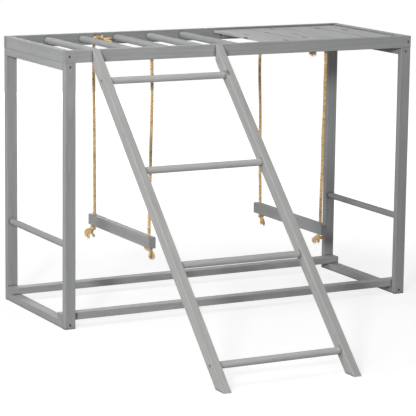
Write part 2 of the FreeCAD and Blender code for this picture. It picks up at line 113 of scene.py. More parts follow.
# Wood knots: their edges, and how far the grain swirls round them, in shares of their spacing or size
KNOT_EDGE = (0.030, 0.055)
KNOT_SWIRL = (0.0, 0.30)
MARK_EDGE = (0.65, 1.15)
MARK_SWIRL = (0.0, 4.0)
KNOT_STRENGTH = 0.75

# Growth rings: their count over the field, the pull of a swirl, the late wood in each, and their strength
RINGS = 46.0
RING_PULL = 0.08
LATE_START = (0.35, 0.88)
LATE_END = (0.90, 1.0)
RING_STRENGTH = 0.26
BOARD_RINGS = 0.60

# Tone of the wood: the share of each pattern, and how dark its grain and how pale its edges get
STREAK_SHARE = 0.34
WASH_SHARE = 0.34
FIBRE_SHARE = 0.40
TONE_SPAN = (0.36, 0.72)
PORE_EDGE = (0.66, 0.74)
PORE_STRENGTH = 0.45
DARK_GRAIN = 0.74
WORN_LIGHT = 1.14
PIECE_TONES = (0.96, 1.04)

# End grain, worn long edges, and joints darkened by painted shade and some dirt
END_SPAN = (0.80, 0.95)
SOAK_SPAN = (0.35, 0.65)
SOAK_ENDS = (0.2, 0.6)
EDGE_SPAN = (0.97, 0.78)
WEAR_SPAN = (0.40, 0.62)
WEAR_ENDS = (0.1, 0.6)
CLEAN_SPAN = (0.0, 0.2)
JOINT_REACH = 0.013
JOINT_SHADE_STRENGTH = 0.85

# Painted shade in the hollows and joints of wood and rope: how open the surroundings are where it is
# darkest and where it ends
CREVICE_SPAN = (0.32, 0.88)
CREVICE_SAMPLES = 6

# Surface of the wood: its roughness, and its relief as strength and depth
LATE_GLOSS = -0.25
ROUGH_SPAN = (0.2, 0.7)
WOOD_ROUGH = (0.50, 0.72)
LATE_RIDGE = 0.55
PORE_PIT = -0.8
WOOD_BUMP = (0.3, 0.0004)
WOOD_SPECULAR = 0.35

# Screw holes with bare wood inside: their size, their ragged rims, and their places on the pieces
HOLE_RADIUS = 0.0044
HOLE_RIM = 0.0060
HOLE_RAGGED = 0.002
HOLE_RAGS = ((700, 700, 700), 2.0, 0.5)
RAW_SPAN = (0.3, 0.7)
POST_SCREW_INSET = 0.0125
CORNER_SCREW_SHIFTS = {"left": 0.005, "right": 0.0015}
LADDER_SCREW_SHIFT = 0.002
LADDER_SCREW_RISES = (0.008, 0.017)
SCREWED_RUNGS = (1, 4)
TRAY_SCREW_INSET = 0.090
LONG_RAIL_SCREW_INSET = 0.00875

# Dark marks on the platform boards, seen in the photograph: their places and their radii along X, Y and Z.
# The long ones are the seams, and the rest are knots.
BOARD_MARKS = (
    ((0.2481, 0.425, 0.844), (0.0022, 0.30, 0.012)),
    ((0.3687, 0.425, 0.844), (0.0022, 0.30, 0.012)),
    ((0.4893, 0.425, 0.844), (0.0040, 0.36, 0.012)),
    ((0.128, 0.418, 0.836), (0.009, 0.018, 0.008)),
    ((0.160, 0.481, 0.844), (0.008, 0.020, 0.006)),
    ((0.192, 0.270, 0.844), (0.010, 0.020, 0.006)),
    ((0.292, 0.327, 0.844), (0.009, 0.020, 0.006)),
    ((0.252, 0.502, 0.844), (0.009, 0.016, 0.006)),
    ((0.323, 0.438, 0.844), (0.007, 0.016, 0.006)),
    ((0.326, 0.597, 0.844), (0.008, 0.018, 0.006)),
    ((0.482, 0.562, 0.844), (0.012, 0.018, 0.006)),
    ((0.541, 0.486, 0.844), (0.012, 0.022, 0.006)),
)

# Steel: dark and light tones and roughness of the wire and of the screws, and patterns as for the wood
WIRE_TONES = ((0.22, 0.22, 0.225), (0.36, 0.36, 0.365))
WIRE_ROUGH = (0.35, 0.55)
SCREW_TONES = ((0.055, 0.05, 0.045), (0.13, 0.12, 0.11))
SCREW_ROUGH = (0.35, 0.60)
CLOUD = ((260, 260, 260), 3.0, 0.6)
CLOUD_SPAN = (0.35, 0.65)
SCRATCH = ((1800, 2400, 600), 2.0, 0.5)
SCRATCH_SHARE = 0.5
STEEL_SPAN = (0.3, 0.7)
STEEL_BUMP = (0.15, 0.0002)

# Rope fibre: its tones from dark to light, patterns along the yarns and through space, and its surface
ROPE_BROWN = (0.50, 0.295, 0.110)
ROPE_TAN = (0.86, 0.595, 0.28)
ROPE_STRAW = (0.97, 0.82, 0.50)
# Dark tone of the painted shade in the grooves between strands
ROPE_GROOVE_SHADE = (0.145, 0.070, 0.022)
YARN_STREAK = ((34, 260, 1), 3.0, 0.65)
YARN_PATCH = ((95, 95, 95), 2.0, 0.5)
YARN_STREAK_SHARE = 0.55
YARN_PATCH_SHARE = 0.50
TAN_SPAN = (0.36, 0.55)
STRAW_SPAN = (0.53, 0.68)
# Reach and strength of the painted shade in the grooves
GROOVE_REACH = 0.004
GROOVE_SHADE_STRENGTH = 0.4
YARN_SPAN = (0.3, 0.7)
YARN_ROUGH = (0.95, 0.78)
YARN_BUMP = (0.45, 0.0006)
YARN_SPECULAR = 0.25
YARN_SHEEN = 0.15

# Rope: three strands, each of a few yarns. Its strands stand a little proud of its measured diameter.
ROPE_REACH = 0.0051
ROPE_PITCH = 0.031
ROPE_DETAIL = 72
ROPE_SPACING = 0.0009
STRANDS = 3
STRAND_SHARE = 2.1547
STRAND_SWELL = 1.04
STRAND_SIDES = 12
YARNS = 5
YARN_DEPTH = 0.07
YARN_TWIST = 42.0

# Shifts of the streaks: from one strand of a rope to the next, and the range for loose strands and fibres
STRAND_SEED = 3.1
SEED_SPAN = 9

# Stray fibres: thin hairs that stand off a rope
FIBRE_RADII = (0.00016, 0.00030)
FIBRE_TAPER = 0.14
FIBRE_STEPS = 4
FIBRE_SIDES = 5
ROPE_WHISKERS = 110
WHISKER_LENGTHS = (0.0025, 0.0045)
WHISKER_TILTS = (0.1, 0.4)
WHISKER_ROOT = 0.8
WHISKER_BEND = 0.1

# Frayed strands: they swell, end round and shed fibres, mostly near their ends
LOOSE_DEPTH = 0.13
LOOSE_TWIST = 26.0
LOOSE_NECK = 0.78
LOOSE_SWELL = 0.26
LOOSE_WAVE = 0.6 * math.pi
LOOSE_TIP = 0.85
LOOSE_TIP_POWER = 9
LOOSE_DETAIL = 14
LOOSE_SPACING = 0.0007
FRAY_FIBRES = 30
FRAY_STRETCH = 0.7
FRAY_LENGTHS = (0.004, 0.008)
FRAY_TILTS = (0.15, 0.6)
FRAY_BENDS = (-0.2, 0.2)
FRAY_SAG = Vector((0, 0, -0.25))
FRAY_ROOT = 0.7
FRAY_SINK = 0.002

# Routes from the stopper knot over the staple and down through the bar
ROPE_ROUTES = {
    "left_front": (
        (-283, 219, 836.5), (-297.5, 216.3, 835.4), (-310.0, 216, 836.4), (-310.3, 216, 817),
        (-308.6, 217, 774), (-306.4, 218.5, 690), (-308.4, 221.5, 545), (-310.3, 225.3, 318),
        (-310.3, 227, 225),
    ),
    "left_rear": (
        (-283, 631, 836.5), (-297.5, 633.7, 835.4), (-310.0, 634, 836.4), (-310.3, 634, 817),
        (-311.2, 633, 774), (-311.9, 631.5, 700), (-310.6, 628.5, 545), (-310.3, 624.7, 318),
        (-310.3, 623, 225),
    ),
    "right_front": (
        (267.4, 219, 811.8), (291.5, 216.3, 823.0), (298.0, 216, 826.7), (306.0, 216, 826.7),
        (306.3, 216, 810), (307.9, 217, 766), (306.9, 218.5, 680), (307.8, 220, 600),
        (305.2, 221.5, 542), (307.9, 223, 470), (304.8, 225, 310), (306.3, 227, 217),
    ),
    "right_rear": (
        (281.0, 631, 815.5), (291.5, 633.7, 823.0), (298.0, 634, 826.7), (306.0, 634, 826.7),
        (305.6, 634, 810), (301.6, 633, 766), (300.2, 631.5, 690), (303.9, 629.5, 590),
        (304.3, 627, 480), (304.4, 625.5, 360), (306.3, 624.7, 310), (306.3, 623, 217),
    ),
}

# Knots: the ring that the rope winds in, how far it weaves, and the rope's own radius.
# A knot under a bar hangs below the rope's mouth, shifted to one side, and leans a little.
HITCH_KNOT = (3.0, 2.4, 3.4)
HITCH_SLOPES = {"left": -0.1, "right": -0.35}
HITCH_TURN = 0.9
BAR_KNOTS = {
    "left_front": ((4, -2, -8.0), (3.8, 2.6, 3.6)),
    "left_rear": ((-8, 1, -10.5), (5.8, 3.2, 4.4)),
    "right_front": ((-8, 0, -10.0), (5.2, 3.0, 4.2)),
    "right_rear": ((2, -2, -9.0), (5.2, 3.0, 4.0)),
}
BAR_KNOT_LEAN = (0.12, 0.1)
BAR_KNOT_TURN = 1.3
KNOT_POINTS = 16
KNOT_TURNS = 2
KNOT_WEAVES = 3
KNOT_PITCH = 0.8 * ROPE_PITCH
KNOT_DETAIL = 10
KNOT_SPACING = 0.0009

# Frayed strands below each bar, from where the rope leaves the bar, and their radius
BAR_STRAND = 3.8
BAR_TAILS = {
    "left_front": (
        ((2, -5, -8), (2, 10, -10), (2, 24, -9), (2, 35, -7)),
        ((4, -4, -10), (2, -4, -19), (1, -4, -29), (5, -4, -36)),
        ((6, -6, -10), (11, -6, -20), (15, -6, -30), (12, -6, -37)),
        ((8, 2, -14), (9, 2, -22), (10, 2, -30), (10, 2, -36)),
    ),
    "left_rear": (
        ((-12, -1, -11), (-23, 6, -11), (-31, 8, -20), (-29, 7, -31)),
        ((-16, -2, -16), (-26, -2, -18), (-31, -2, -26), (-29, -2, -34)),
        ((-15, 0, -15), (-22, 3, -20), (-27, 4, -25), (-28, 4, -31)),
        ((-15, -4, -16), (-21, -4, -23), (-25, -4, -32), (-24, -4, -40)),
        ((-9, 3, -18), (-8, 3, -26), (-4, 3, -33), (0, 3, -38)),
    ),
    "right_front": (
        ((-13, 3, -10), (-22, 3, -12), (-25, 3, -19), (-20, 3, -26)),
        ((-12, -3, -12), (-17, -3, -17), (-20, -3, -21), (-19, -3, -26)),
        ((-9, -1, -13), (-6, -1, -18), (-5, -1, -22), (-6, -1, -26)),
        ((-9, -7, -9), (-2, -8, -9), (4, -8, -9), (11, -8, -11)),
        ((-9, -5, -11), (-1, -5, -13), (5, -5, -13), (10, -6, -15)),
    ),
    "right_rear": (
        ((2, -4, -14), (1, -7, -20), (-1, -9, -27), (0, -9, -34)),
        ((6, -5, -15), (9, -7, -23), (10, -9, -31), (10, -11, -40)),
        ((3, -8, -14), (4, -12, -20), (3, -13, -26), (3, -13, -31)),
    ),
}

# Frayed strands beyond each stopper knot, from its centre, and their radius
HITCH_STRAND = 3.1
HITCH_TAILS = {
    "left_front": (
        ((4, 3, -3), (10, 9, -5), (17, 13, -4), (25, 16, -2)),
        ((4, 3, -6), (10, 9, -9), (17, 15, -10), (25, 18, -12)),
        ((4, 1, -2), (9, 3, -6), (15, 4, -10), (20, 6, -13)),
    ),
    "left_rear": (
        ((4, -3, -3), (10, -9, -5), (17, -13, -4), (25, -16, -2)),
        ((4, -3, -6), (10, -9, -9), (17, -15, -10), (25, -18, -12)),
        ((4, -1, -2), (9, -3, -6), (15, -4, -10), (20, -6, -13)),
    ),
    "right_front": (
        ((-3, 2, 0), (-10, 2, -3), (-15, 2, -5), (-18, 2, -7)),
        ((-2, 4, -2), (-7, 4, -6), (-10, 4, -10), (-10, 4, -13)),
        ((-1, 2, -2), (-2, 2, -6), (-4, 2, -10), (-4, 2, -14)),
        ((1, 0, -2), (2, 0, -6), (3, 0, -9), (3, 0, -12)),
    ),
    "right_rear": (
        ((-1, -3, 0), (-4, -8, 1), (-6, -13, 1), (-8, -18, 0)),
        ((-2, -2, -1), (-6, -6, -1), (-9, -10, -1), (-11, -14, -2)),
        ((0, -3, -1), (-1, -8, -1), (-2, -12, -2), (-3, -16, -3)),
    ),
}


class Nodes:
    """A node tree under construction."""

    def __init__(self, tree):
        self.tree = tree
        tree.nodes.clear()

    def add(self, kind, inputs=None, **settings):
        node = self.tree.nodes.new(kind)
        for key, value in settings.items():
            setattr(node, key, value)
        for key, value in (inputs or {}).items():
            self.feed(node.inputs[key], value)
        return node

    def feed(self, socket, value):
        if isinstance(value, bpy.types.NodeSocket):
            self.tree.links.new(value, socket)
        else:
            socket.default_value = value

    def math(self, operation, first, second=0.0, third=0.0):
        node = self.add("ShaderNodeMath", {0: first, 1: second, 2: third}, operation=operation)
        return node.outputs[0]

    def times(self, first, second):
        return self.math("MULTIPLY", first, second)

    def vector(self, operation, first, second):
        node = self.add("ShaderNodeVectorMath", {0: first, 1: second}, operation=operation)
        return node.outputs["Value" if operation == "DISTANCE" else "Vector"]

    def turned(self, vector, turn):
        return self.add("ShaderNodeMapping", {"Vector": vector, "Rotation": turn}).outputs["Vector"]

    def noise(self, vector, repeat, detail, roughness):
        spread = self.vector("MULTIPLY", vector, repeat)
        inputs = {"Vector": spread, "Scale": 1.0, "Detail": detail, "Roughness": roughness}
        return self.add("ShaderNodeTexNoise", inputs).outputs["Fac"]

    def between(self, value, span, ends=UNIT):
        """A smooth step over a span of values, from one end to the other."""
        inputs = {
            "Value": value, "From Min": span[0], "From Max": span[1], "To Min": ends[0], "To Max": ends[1],
        }
        return self.add("ShaderNodeMapRange", inputs, interpolation_type="SMOOTHSTEP").outputs["Result"]

    def mix(self, factor, first, second):
        node = self.add("ShaderNodeMix", data_type="RGBA")
        for name, value in (("Factor_Float", factor), ("A_Color", first), ("B_Color", second)):
            socket = next(socket for socket in node.inputs if socket.identifier == name)
            self.feed(socket, (*value, 1.0) if isinstance(value, tuple) else value)
        return next(socket for socket in node.outputs if socket.identifier == "Result_Color")


def new_material(name):
    material = bpy.data.materials.new(name)
    material.use_nodes = True
    return material, Nodes(material.node_tree)


def finish_material(nodes, colour, roughness, height, bump, **constants):
    """The surface itself: colour, roughness and relief from the nodes, the rest as plain numbers."""
    strength, distance = bump
    relief = {"Height": height, "Strength": strength, "Distance": distance}
    normal = nodes.add("ShaderNodeBump", relief).outputs["Normal"]
    inputs = {"Base Color": colour, "Roughness": roughness, "Normal": normal}
    inputs.update(constants)
    shader = nodes.add("ShaderNodeBsdfPrincipled", inputs)
    nodes.add("ShaderNodeOutputMaterial", {"Surface": shader.outputs["BSDF"]})


def middle(node):
    """The centre of a CAD node's box."""
    low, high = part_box(node)
    return (low + high) / 2


def screw_holes():
    """Screw holes by the pieces they are in: the axis they run along, and their places across it."""
    ends = ("left", "right")
    post_low, post_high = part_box("left_front_post")
    levels = (post_high.z - POST_SCREW_INSET, post_low.z + POST_SCREW_INSET)
    posts = [(middle(end + "_front_post").x, z) for end in ends for z in levels]
    tray_low, tray_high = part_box("left_tray_rail")
    tray_middle = middle("left_tray_rail").z
    tray_ends = {end: middle(end + "_tray_rail").x for end in ends}
    corners = [(tray_ends[end] + CORNER_SCREW_SHIFTS[end], tray_middle) for end in ends]
    stringers = [middle("ladder_%s_stringer" % end).x + LADDER_SCREW_SHIFT for end in ends]
    ladder_tops = [(x, tray_low.z + rise) for x in stringers for rise in LADDER_SCREW_RISES]
    rungs = [middle("ladder_rung_%d" % number) for number in SCREWED_RUNGS]
    tray_rows = (tray_low.y + TRAY_SCREW_INSET, tray_high.y - TRAY_SCREW_INSET)
    left_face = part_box("left_bottom_end_rail")[0].x
    right_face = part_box("right_bottom_end_rail")[1].x
    long_ends = (left_face + LONG_RAIL_SCREW_INSET, right_face - LONG_RAIL_SCREW_INSET)
    long_rows = (middle("front_bottom_rail").y, middle("rear_bottom_rail").y)
    return {
        "post": ("Y", posts),
        "front_tray": ("Y", corners + ladder_tops),
        "rear_tray": ("Y", corners),
        "stringer": ("X", [(rung.y, rung.z) for rung in rungs]),
        "top_end_rail": ("Z", [(tray_ends[end], y) for end in ends for y in tray_rows]),
        "bottom_end_rail": ("Z", [(x, y) for x in long_ends for y in long_rows]),
    }


def hole_mask(nodes, place, holes):
    """1 in and at the rim of the screw holes, 0 elsewhere."""
    axis, spots = holes
    keep = {"X": (0, 1, 1), "Y": (1, 0, 1), "Z": (1, 1, 0)}[axis]
    flat = nodes.vector("MULTIPLY", place, keep)
    nearest = None
    for first, second in spots:
        centre = {"X": (0, first, second), "Y": (first, 0, second), "Z": (first, second, 0)}[axis]
        distance = nodes.vector("DISTANCE", flat, centre)
        nearest = distance if nearest is None else nodes.math("MINIMUM", nearest, distance)
    ragged = nodes.math("MULTIPLY_ADD", nodes.noise(place, *HOLE_RAGS), -HOLE_RAGGED, nearest)
    return nodes.between(ragged, (HOLE_RADIUS - HOLE_RAGGED / 2, HOLE_RIM - HOLE_RAGGED / 2), FALL)


def crevice_shade(nodes, reach):
    """Painted shade: 1 deep in a joint or groove, 0 on open surfaces."""
    inputs = {"Distance": reach}
    open_share = nodes.add("ShaderNodeAmbientOcclusion", inputs, samples=CREVICE_SAMPLES).outputs["AO"]
    return nodes.between(open_share, CREVICE_SPAN, FALL)


def wood_knots(nodes, place, grain, marks):
    """Masks of the knots and of the swirls round them: a few scattered seeds, and the marks given."""
    seeds = nodes.vector("MULTIPLY", grain, KNOT_REPEAT)
    from_seed = nodes.add("ShaderNodeTexVoronoi", {"Vector": seeds, "Scale": 1.0}).outputs["Distance"]
    swirl = nodes.between(from_seed, KNOT_SWIRL, FALL)
    dark = nodes.between(from_seed, KNOT_EDGE, FALL)
    for centre, radii in marks:
        offset = nodes.vector("DIVIDE", nodes.vector("SUBTRACT", place, centre), radii)
        reach = nodes.vector("DISTANCE", offset, (0, 0, 0))
        dark = nodes.math("MAXIMUM", dark, nodes.between(reach, MARK_EDGE, FALL))
        swirl = nodes.math("MAXIMUM", swirl, nodes.between(reach, MARK_SWIRL, FALL))
    return dark, swirl


def late_wood(nodes, grain, swirl):
    """The dark part of each growth ring: level lines of a slow field, drawn out along the grain."""
    level = nodes.math("MULTIPLY_ADD", swirl, RING_PULL, nodes.noise(grain, *RING_FIELD))
    ring = nodes.math("FRACT", nodes.times(level, RINGS))
    return nodes.times(nodes.between(ring, LATE_START), nodes.between(ring, LATE_END, FALL))


def wood_tone(nodes, grain, fibre, wash):
    """How light the stain is, from streaks, blotches and fibres."""
    tone = nodes.times(wash, WASH_SHARE)
    tone = nodes.math("MULTIPLY_ADD", nodes.noise(grain, *STREAK), STREAK_SHARE, tone)
    tone = nodes.math("MULTIPLY_ADD", fibre, FIBRE_SHARE, tone)
    return nodes.between(tone, TONE_SPAN)


def end_grain(nodes, normal, fibre):
    """How much stain the end grain soaks up, 0 on the long faces."""
    lengthwise = nodes.math("ABSOLUTE", nodes.add("ShaderNodeSeparateXYZ", {0: normal}).outputs[0])
    return nodes.times(nodes.between(lengthwise, END_SPAN), nodes.between(fibre, SOAK_SPAN, SOAK_ENDS))


def worn_edges(nodes, normal, wash, joint):
    """How worn the long edges are, 0 on flat faces and in joints."""
    sides = nodes.add("ShaderNodeSeparateXYZ", {0: nodes.vector("ABSOLUTE", normal, (0, 0, 0))})
    flattest = nodes.math("MAXIMUM", sides.outputs[1], sides.outputs[2])
    flattest = nodes.math("MAXIMUM", flattest, sides.outputs[0])
    worn = nodes.times(nodes.between(flattest, EDGE_SPAN), nodes.between(wash, WEAR_SPAN, WEAR_ENDS))
    return nodes.times(worn, nodes.between(joint, CLEAN_SPAN, FALL))


def wood(name, turn, stain=GREY, holes=None, marks=(), eased=True, rings=RING_STRENGTH):
    """Stained softwood with growth rings, fibres, a blotchy wash, knots, worn edges and end grain."""
    material, nodes = new_material(name)
    source = nodes.add("ShaderNodeTexCoord")
    place = source.outputs["Object"]
    chance = nodes.add("ShaderNodeObjectInfo").outputs["Random"]
    equal = nodes.add("ShaderNodeCombineXYZ", {0: chance, 1: chance, 2: chance}).outputs[0]
    shift = nodes.vector("MULTIPLY", equal, PIECE_SHIFT)
    grain = nodes.vector("ADD", nodes.turned(place, turn), shift)
    normal = nodes.turned(source.outputs["Normal"], turn)

    knot_dark, swirl = wood_knots(nodes, place, grain, marks)
    late = late_wood(nodes, grain, swirl)
    fibre = nodes.noise(grain, *FIBRE)
    wash = nodes.noise(grain, *WASH)
    pore = nodes.between(nodes.noise(grain, *PORE), PORE_EDGE)
    # Mask of painted shade, with some dirt, in the joints and creases
    joint = crevice_shade(nodes, JOINT_REACH)

    dark = tuple(DARK_GRAIN * channel for channel in stain[0])
    colour = nodes.mix(wood_tone(nodes, grain, fibre, wash), *stain)
    colour = nodes.mix(nodes.times(late, rings), colour, dark)
    colour = nodes.mix(nodes.times(pore, PORE_STRENGTH), colour, dark)
    colour = nodes.mix(nodes.times(knot_dark, KNOT_STRENGTH), colour, KNOT_BROWN)
    colour = nodes.mix(end_grain(nodes, normal, fibre), colour, dark)
    if eased:
        worn_stain = tuple(min(1.0, WORN_LIGHT * channel) for channel in stain[1])
        colour = nodes.mix(worn_edges(nodes, normal, wash, joint), colour, worn_stain)
    # Painted shade and some dirt darken the joints and creases
    colour = nodes.mix(nodes.times(joint, JOINT_SHADE_STRENGTH), colour, SHADE_AND_SOOT)

    # Each piece is a little lighter or darker than the next
    piece_tone = nodes.between(chance, UNIT, PIECE_TONES)
    scaled = nodes.add("ShaderNodeVectorMath", {0: colour, 3: piece_tone}, operation="SCALE")
    colour = scaled.outputs["Vector"]

    if holes:
        bare = nodes.mix(nodes.between(fibre, RAW_SPAN), *RAW)
        colour = nodes.mix(hole_mask(nodes, place, holes), colour, bare)

    rough = nodes.between(nodes.math("MULTIPLY_ADD", late, LATE_GLOSS, fibre), ROUGH_SPAN, WOOD_ROUGH)
    height = nodes.math("MULTIPLY_ADD", pore, PORE_PIT, fibre)
    height = nodes.math("MULTIPLY_ADD", late, LATE_RIDGE, height)
    finish_material(nodes, colour, rough, height, WOOD_BUMP, **{"Specular IOR Level": WOOD_SPECULAR})
    return material


def steel(name, tones, roughness):
    """Metal with fine scratches and cloudy plating."""
    material, nodes = new_material(name)
    place = nodes.add("ShaderNodeTexCoord").outputs["Object"]
    cloud = nodes.noise(place, *CLOUD)
    scratch = nodes.noise(place, *SCRATCH)
    colour = nodes.mix(nodes.between(cloud, CLOUD_SPAN), *tones)
    both = nodes.math("MULTIPLY_ADD", scratch, SCRATCH_SHARE, nodes.times(cloud, 1 - SCRATCH_SHARE))
    rough = nodes.between(both, STEEL_SPAN, roughness)
    finish_material(nodes, colour, rough, scratch, STEEL_BUMP, Metallic=1.0)
    return material


def rope_fibre(name):
    """Natural fibre: streaks along the yarns, which the strands' UVs follow, and pale and brown patches."""
    material, nodes = new_material(name)
    source = nodes.add("ShaderNodeTexCoord")
    streak = nodes.noise(source.outputs["UV"], *YARN_STREAK)
    patch = nodes.noise(source.outputs["Object"], *YARN_PATCH)
    tone = nodes.math("MULTIPLY_ADD", streak, YARN_STREAK_SHARE, nodes.times(patch, YARN_PATCH_SHARE))
    colour = nodes.mix(nodes.between(tone, TAN_SPAN), ROPE_BROWN, ROPE_TAN)
    colour = nodes.mix(nodes.between(tone, STRAW_SPAN), colour, ROPE_STRAW)
    # Painted shade in the grooves between the strands
    colour = nodes.mix(nodes.times(crevice_shade(nodes, GROOVE_REACH), GROOVE_SHADE_STRENGTH), colour, ROPE_GROOVE_SHADE)
    rough = nodes.between(streak, YARN_SPAN, YARN_ROUGH)
    constants = {"Specular IOR Level": YARN_SPECULAR, "Sheen Weight": YARN_SHEEN}
    finish_material(nodes, colour, rough, streak, YARN_BUMP, **constants)
    return material


def frames_along(line):
    """The heading and two cross directions at each point of a line, turning as little as they can."""
    last = len(line) - 1
    headings = []
    for number in range(last + 1):
        headings.append((line[min(number + 1, last)] - line[max(number - 1, 0)]).normalized())
    side = headings[0].orthogonal().normalized()
    result = []
    for heading in headings:
        side = (side - heading * side.dot(heading)).normalized()
        result.append((heading, side, heading.cross(side)))
    return result


def spoke(axes, angle):
    """The direction at an angle round a heading."""
    _, side, cross = axes
    return side * math.cos(angle) + cross * math.sin(angle)


def distances_along(line):
    """How far each point of a line is from its start, along the line."""
    result = [0.0]
    for before, after in zip(line, line[1:]):
        result.append(result[-1] + (after - before).length)
    return result


def strand_width(share):
    """How thick a loose strand is along its length, from 0 at the knot to 1 at its rounded end."""
    swell = LOOSE_NECK + LOOSE_SWELL * math.sin(LOOSE_WAVE * share)
    return swell * math.sqrt(1 - LOOSE_TIP * share ** LOOSE_TIP_POWER)


def smooth_line(route, detail, spacing):
    """Points along the NURBS spline of a route in millimetres, no closer together than spacing."""
    curve = bpy.data.curves.new("route", "CURVE")
    curve.dimensions = "3D"
    curve.resolution_u = detail
    spline = curve.splines.new("NURBS")
    spline.points.add(len(route) - 1)
    for point, place in zip(spline.points, route):
        point.co = (*(Vector(place) * MM), 1.0)
    spline.order_u = 3
    spline.use_endpoint_u = True
    holder = bpy.data.objects.new("route", curve)
    bpy.context.scene.collection.objects.link(holder)
    mesh = bpy.data.meshes.new_from_object(holder)
    found = [vertex.co.copy() for vertex in mesh.vertices]
    bpy.data.objects.remove(holder)
    bpy.data.curves.remove(curve)
    bpy.data.meshes.remove(mesh)
    kept = [found[0]]
    for point in found[1:-1]:
        if (point - kept[-1]).length > spacing and (point - found[-1]).length > spacing / 2:
            kept.append(point)
    return kept + [found[-1]]


class Shape:
    """Tubes gathered into one mesh, with UVs along them."""

    def __init__(self):
        self.points = []
        self.faces = []
        self.uvs = []

    def tube(self, line, widths, sides, lobes=0, depth=0.0, twist=0.0, seed=0.0):
        """A closed tube with a radius for each point of a line, and lobes that twist by turns per metre."""
        start = len(self.points)
        last = len(line) - 1
        marks = distances_along(line)
        around = [FULL_TURN * number / sides for number in range(sides)]
        for centre, axes, width, mark in zip(line, frames_along(line), widths, marks):
            turn = FULL_TURN * twist * mark
            for angle in around:
                reach = width * (1 + depth * math.cos(lobes * (angle - turn)))
                self.points.append(centre + spoke(axes, angle) * reach)
        for number in range(last):
            low, high = marks[number], marks[number + 1]
            base, above = start + number * sides, start + (number + 1) * sides
            for index in range(sides):
                following = (index + 1) % sides
                self.faces.append((base + index, base + following, above + following, above + index))
                left, right = index / sides, (index + 1) / sides
                self.uvs += [(left - twist * low + seed, low), (right - twist * low + seed, low),
                             (right - twist * high + seed, high), (left - twist * high + seed, high)]
        self.cap([start + index for index in reversed(range(sides))], seed, 0.0)
        self.cap([start + last * sides + index for index in range(sides)], seed, marks[-1])

    def cap(self, ring, u, v):
        self.faces.append(tuple(ring))
        self.uvs += [(u, v)] * len(ring)

    def rope(self, line, radius, pitch, phase):
        """Strands of a few yarns each, laid round a line."""
        strand = radius / STRAND_SHARE
        offset = radius - strand
        strands = [[] for _ in range(STRANDS)]
        for centre, axes, mark in zip(line, frames_along(line), distances_along(line)):
            for index, path in enumerate(strands):
                angle = phase + FULL_TURN * (mark / pitch + index / STRANDS)
                path.append(centre + spoke(axes, angle) * offset)
        widths = [strand * STRAND_SWELL] * len(line)
        for index, path in enumerate(strands):
            seed = index * STRAND_SEED + phase
            self.tube(path, widths, STRAND_SIDES, YARNS, YARN_DEPTH, -YARN_TWIST, seed)

    def fibre(self, root, aim, length, sag, dice):
        """One thin hair from a root along aim, bent by sag."""
        steps = range(FIBRE_STEPS + 1)
        path = []
        for step in steps:
            bend = sag * (length * (step / FIBRE_STEPS) ** 2)
            path.append(root + aim * (length * step / FIBRE_STEPS) + bend)
        thick = dice.uniform(*FIBRE_RADII)
        widths = [thick * (1 - FIBRE_TAPER * step) for step in steps]
        self.tube(path, widths, FIBRE_SIDES, seed=dice.random() * SEED_SPAN)

    def whiskers(self, line, radius, count, dice):
        """Short hairs that stand off a rope."""
        frames = frames_along(line)
        for _ in range(count):
            number = dice.randrange(len(line))
            heading = frames[number][0]
            outward = spoke(frames[number], dice.uniform(0, FULL_TURN))
            lengthwise = heading * dice.choice((-1, 1))
            aim = (lengthwise + outward * dice.uniform(*WHISKER_TILTS)).normalized()
            root = line[number] + outward * radius * WHISKER_ROOT
            self.fibre(root, aim, dice.uniform(*WHISKER_LENGTHS), outward * WHISKER_BEND, dice)

    def frayed(self, line, radius, dice):
        """One loose strand, which swells, ends round and sheds fibres."""
        last = len(line) - 1
        widths = [radius * strand_width(number / last) for number in range(last + 1)]
        seed = dice.random() * SEED_SPAN
        self.tube(line, widths, STRAND_SIDES, YARNS, LOOSE_DEPTH, -LOOSE_TWIST, seed)
        frames = frames_along(line)
        for _ in range(FRAY_FIBRES):
            number = round(last * (1 - FRAY_STRETCH * dice.random() ** 2))
            heading = frames[number][0]
            outward = spoke(frames[number], dice.uniform(0, FULL_TURN))
            root = line[number] + outward * widths[number] * FRAY_ROOT - heading * FRAY_SINK
            aim = (heading + outward * dice.uniform(*FRAY_TILTS)).normalized()
            sag = FRAY_SAG + outward * dice.uniform(*FRAY_BENDS)
            self.fibre(root, aim, dice.uniform(*FRAY_LENGTHS), sag, dice)

    def piece(self, name, material, body, *replaced):
        """The finished mesh, riding on a body in place of CAD nodes."""
        mesh = bpy.data.meshes.new(name)
        mesh.from_pydata(self.points, [], self.faces)
        layer = mesh.uv_layers.new(name="yarns")
        layer.data.foreach_set("uv", [number for pair in self.uvs for number in pair])
        mesh.polygons.foreach_set("use_smooth", [True] * len(mesh.polygons))
        mesh.materials.append(material)
        made = bpy.data.objects.new(name, mesh)
        bpy.context.scene.collection.objects.link(made)
        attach(made, body)
        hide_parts(*replaced)
        return made


def knot_route(size, axis, lean):
    """A rope that winds round an axis and weaves on its way, from one end of the axis to the other."""
    ring, weave, _ = size
    half = ring + weave
    heading = axis.normalized()
    side = heading.orthogonal().normalized()
    axes = (heading, side, heading.cross(side))
    route = [axis * -half]
    for number in range(KNOT_POINTS):
        turn = FULL_TURN * number / KNOT_POINTS
        reach = ring + weave * math.cos(KNOT_WEAVES * turn)
        along = heading * (weave * math.sin(KNOT_WEAVES * turn))
        route.append(spoke(axes, KNOT_TURNS * turn + lean) * reach + along)
    return route + [axis * half]


def knot(name, centre, size, axis, lean, origin, tails, strand, body, material, replaced):
    """A tight knot of the rope, and its strands loose beyond it, placed from origin."""
    dice = random.Random(name)
    shape = Shape()
    route = [centre + point for point in knot_route(size, axis, lean)]
    shape.rope(smooth_line(route, KNOT_DETAIL, KNOT_SPACING), size[2] * MM, KNOT_PITCH, lean)
    for tail in tails:
        line = smooth_line([origin + Vector(point) for point in tail], LOOSE_DETAIL, LOOSE_SPACING)
        shape.frayed(line, strand * MM, dice)
    return shape.piece(name, material, body, replaced)


